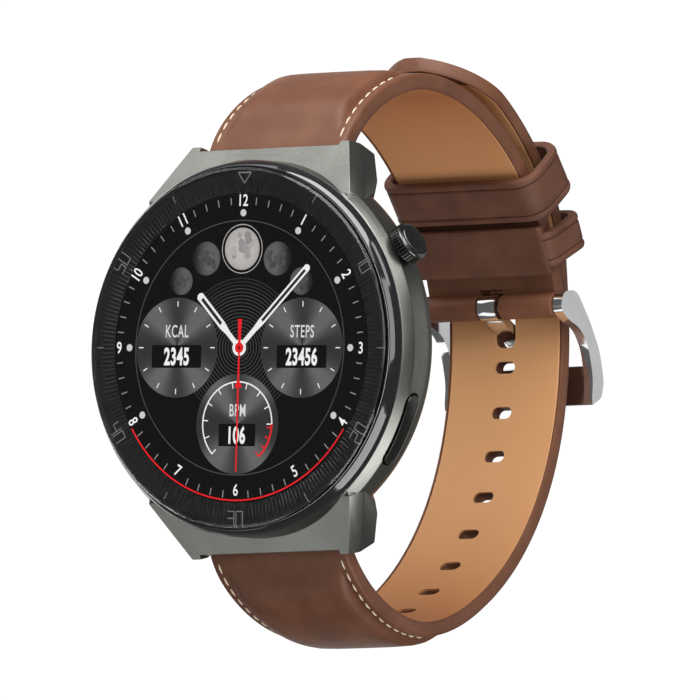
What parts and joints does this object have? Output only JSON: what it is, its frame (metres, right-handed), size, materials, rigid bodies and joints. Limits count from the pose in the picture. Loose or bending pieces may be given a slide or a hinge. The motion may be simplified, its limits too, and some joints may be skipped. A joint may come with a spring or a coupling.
{
  "type": "smartwatch",
  "caption": "Round smartwatch with a lit dial under domed glass, a crown and a side button, on a two-part leather strap closed by a pin buckle and keepers.",
  "frame": {"origin": "middle of the sensor window's flat outer face on the case back, which rests on the wrist", "axes": "+Z out of the dial, +Y towards 12 o'clock, +X towards 3 o'clock, the side of the crown and the button"},
  "size_m": [0.0462, 0.071, 0.0621],
  "materials": {
    "case_metal": "brushed grey titanium",
    "polished_bezel": "polished black",
    "seal": "matt",
    "dial_ring": "fine radial ribs with printed minute marks",
    "display": "lit round screen",
    "cover_glass": "clear polished",
    "inner_plastic": "moulded",
    "circuit_board": "solder mask",
    "battery_foil": "foil",
    "bright_steel": "polished",
    "dark_steel": "dark coated",
    "back_metal": "satin",
    "sensor_glass": "black polished",
    "contact_gold": "plated",
    "strap_leather": "smooth brown with fine grain",
    "strap_lining": "tan, fine grain"
  },
  "bodies": {
    "watch": {"case_body": "case_metal", "bezel_ring": "polished_bezel", "glass_gasket": "seal", "dial_ring": "dial_ring", "display_panel": "display", "cover_glass": "cover_glass", "inner_frame": "inner_plastic", "main_board": "circuit_board", "battery": "battery_foil", "vibration_motor": "bright_steel", "speaker": "inner_plastic", "back_cover": "back_metal", "back_screw_1": "dark_steel", "back_screw_2": "dark_steel", "back_screw_3": "dark_steel", "back_screw_4": "dark_steel", "back_gasket": "seal", "sensor_window": "sensor_glass", "charge_contact_1": "contact_gold", "charge_contact_2": "contact_gold", "heart_sensor_board": "circuit_board", "crown_tube": "bright_steel", "crown_switch": "inner_plastic", "button_switch": "inner_plastic", "upper_bar_sleeve": "bright_steel", "lower_bar_sleeve": "bright_steel", "upper_strap_leather": "strap_leather", "upper_strap_lining": "strap_lining", "lower_strap_leather": "strap_leather", "lower_strap_lining": "strap_lining", "fixed_keeper": "strap_leather", "buckle_pin": "bright_steel"},
    "crown_shuttle": {"crown_plunger": "bright_steel"},
    "crown": {"crown_stem": "bright_steel", "crown_o_ring": "seal", "crown_knob": "dark_steel", "crown_ring": "bright_steel", "crown_cap": "dark_steel"},
    "button": {"side_button": "case_metal", "button_stem": "bright_steel", "button_seal": "seal"},
    "buckle": {"buckle_frame": "bright_steel"},
    "tang": {"buckle_tang": "bright_steel"},
    "keeper": {"free_keeper": "strap_leather"},
    "upper_tip_left": {"upper_bar_tip_left": "bright_steel"},
    "upper_tip_right": {"upper_bar_tip_right": "bright_steel"},
    "lower_tip_left": {"lower_bar_tip_left": "bright_steel"},
    "lower_tip_right": {"lower_bar_tip_right": "bright_steel"}
  },
  "joints": [
    {"name": "crown_press", "type": "slide", "parent": "watch", "child": "crown_shuttle", "axis": [-0.8746, -0.4848, 0], "range_m": [0, 0.0004], "stiffness_N_per_m": 2000, "springref_m": -0.0003},
    {"name": "crown_turn", "type": "hinge", "parent": "crown_shuttle", "child": "crown", "pos_m": [0.02038, 0.0113, 0.0066], "axis": [0.8746, 0.4848, 0], "continuous": true},
    {"name": "button_press", "type": "slide", "parent": "watch", "child": "button", "axis": [-0.8942, 0.4478, 0], "range_m": [0, 0.0004], "stiffness_N_per_m": 2000, "springref_m": -0.0003},
    {"name": "buckle_swing", "type": "hinge", "parent": "watch", "child": "buckle", "pos_m": [0, 0.0074, -0.0416], "axis": [1, 0, 0], "range_deg": [0, 4]},
    {"name": "tang_lift", "type": "hinge", "parent": "buckle", "child": "tang", "pos_m": [0, 0.0074, -0.0416], "axis": [1, 0, 0], "range_deg": [0, 3]},
    {"name": "keeper_slide", "type": "hinge", "parent": "watch", "child": "keeper", "pos_m": [0, 0.00254, -0.01216], "axis": [1, 0, 0], "range_deg": [0, 19]},
    {"name": "upper_tip_left_press", "type": "slide", "parent": "watch", "child": "upper_tip_left", "axis": [1, 0, 0], "range_m": [0, 0.0009], "stiffness_N_per_m": 400, "springref_m": -0.0005},
    {"name": "upper_tip_right_press", "type": "slide", "parent": "watch", "child": "upper_tip_right", "axis": [-1, 0, 0], "range_m": [0, 0.0009], "stiffness_N_per_m": 400, "springref_m": -0.0005},
    {"name": "lower_tip_left_press", "type": "slide", "parent": "watch", "child": "lower_tip_left", "axis": [1, 0, 0], "range_m": [0, 0.0009], "stiffness_N_per_m": 400, "springref_m": -0.0005},
    {"name": "lower_tip_right_press", "type": "slide", "parent": "watch", "child": "lower_tip_right", "axis": [-1, 0, 0], "range_m": [0, 0.0009], "stiffness_N_per_m": 400, "springref_m": -0.0005}
  ]
}
